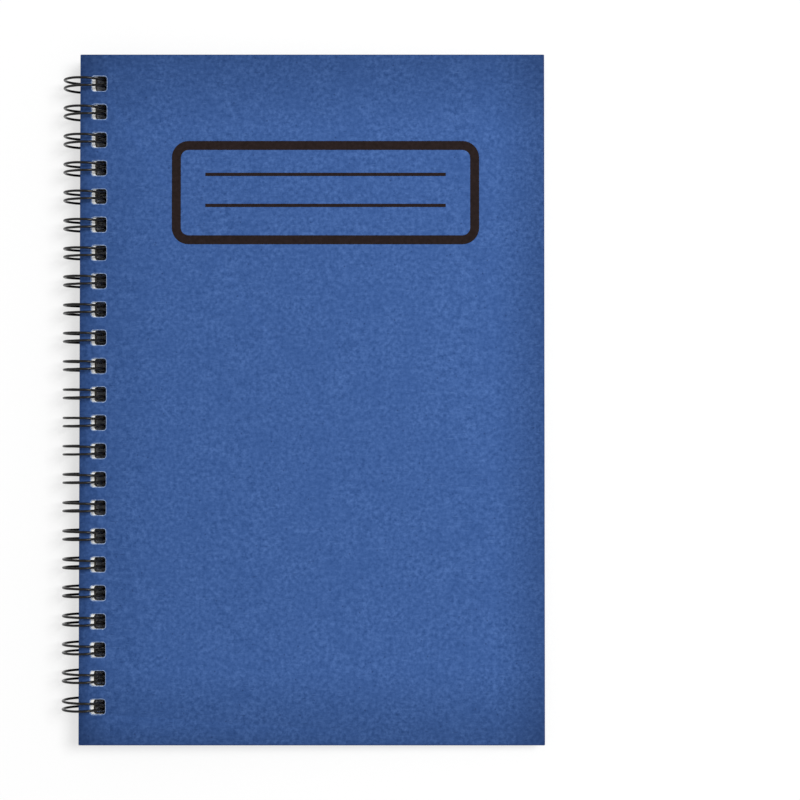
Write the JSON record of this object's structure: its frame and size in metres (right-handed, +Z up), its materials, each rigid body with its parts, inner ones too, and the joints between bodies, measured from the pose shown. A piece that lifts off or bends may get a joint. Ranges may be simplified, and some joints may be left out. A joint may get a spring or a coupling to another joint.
{
  "type": "spiral notebook",
  "caption": "Notebook with card covers and ruled sheets on a twin-loop wire; both covers swing right round to lie flat behind it.",
  "frame": {"origin": "middle of the bounding box on the table, under the closed notebook", "axes": "+X to the fore edge (the wire is on the -X side), +Y to the top of the page, +Z up from the table"},
  "size_m": [0.1442, 0.2064, 0.0131],
  "materials": {
    "cover_card": "matt fibre-flecked card",
    "paper": "uncoated cream paper",
    "coated_wire": "glossy black coating"
  },
  "bodies": {
    "sheets_and_wire": {"page_block": "paper", "binding_wire": "coated_wire"},
    "front_cover": {"front_cover": "cover_card"},
    "back_cover": {"back_cover": "cover_card"}
  },
  "joints": [
    {"name": "front_cover_swing", "type": "hinge", "parent": "sheets_and_wire", "child": "front_cover", "pos_m": [-0.06648, 0, 0.00831], "axis": [0, -1, 0], "range_deg": [0, 180]},
    {"name": "back_cover_swing", "type": "hinge", "parent": "sheets_and_wire", "child": "back_cover", "pos_m": [-0.06659, 0, 0.00491], "axis": [0, 1, 0], "range_deg": [0, 180]}
  ]
}
